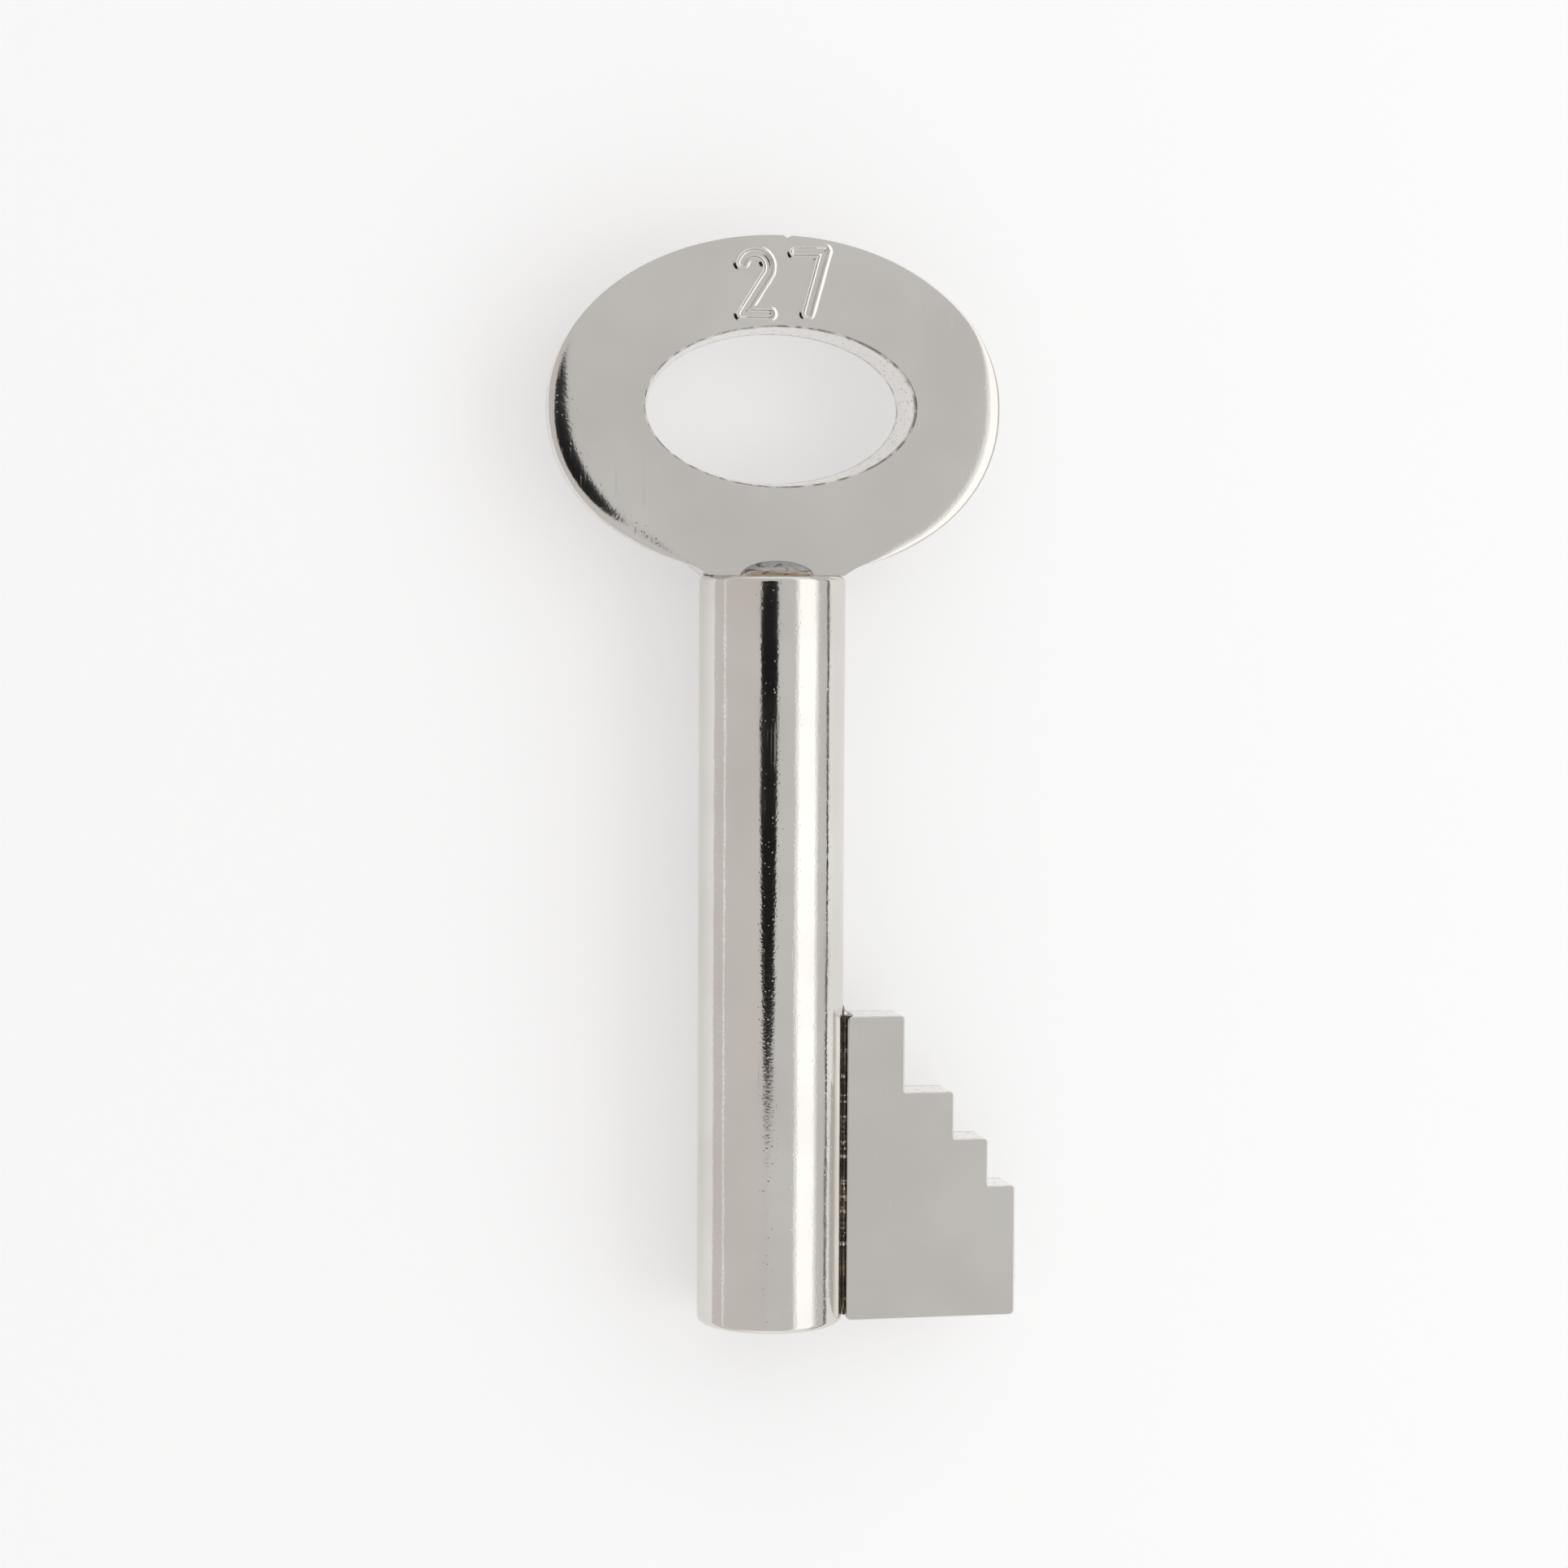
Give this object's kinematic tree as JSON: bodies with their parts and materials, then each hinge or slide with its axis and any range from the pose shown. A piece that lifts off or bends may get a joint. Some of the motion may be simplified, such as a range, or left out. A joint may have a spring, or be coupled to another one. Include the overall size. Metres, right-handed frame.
{
  "type": "padlock key",
  "caption": "Pipe key with a round hollow barrel, an oval bow with an oval ring hole, and a flat bit cut in steps.",
  "frame": {"origin": "middle of the key's outline, on the plane that the barrel's underside rests on", "axes": "+X from the barrel towards the bit, +Y along the barrel towards the bow, +Z square to the flat bow and bit"},
  "size_m": [0.026, 0.0592, 0.008],
  "materials": {
    "barrel_nickel": "bright nickel plate on a turned steel tube, lightly pitted",
    "bow_nickel": "bright nickel plate on stamped steel, fine rubbed scratches, coined rim",
    "bit_nickel": "nickel plate on stamped steel, satin with sheared edges",
    "bow_braze_metal": "plated brass braze, darkened in the crevice",
    "bit_braze_metal": "plated brass braze, grainy"
  },
  "bodies": {
    "root": {"barrel": "barrel_nickel", "bow": "bow_nickel", "bit": "bit_nickel", "bow_braze": "bow_braze_metal", "bit_braze": "bit_braze_metal"}
  },
  "joints": []
}
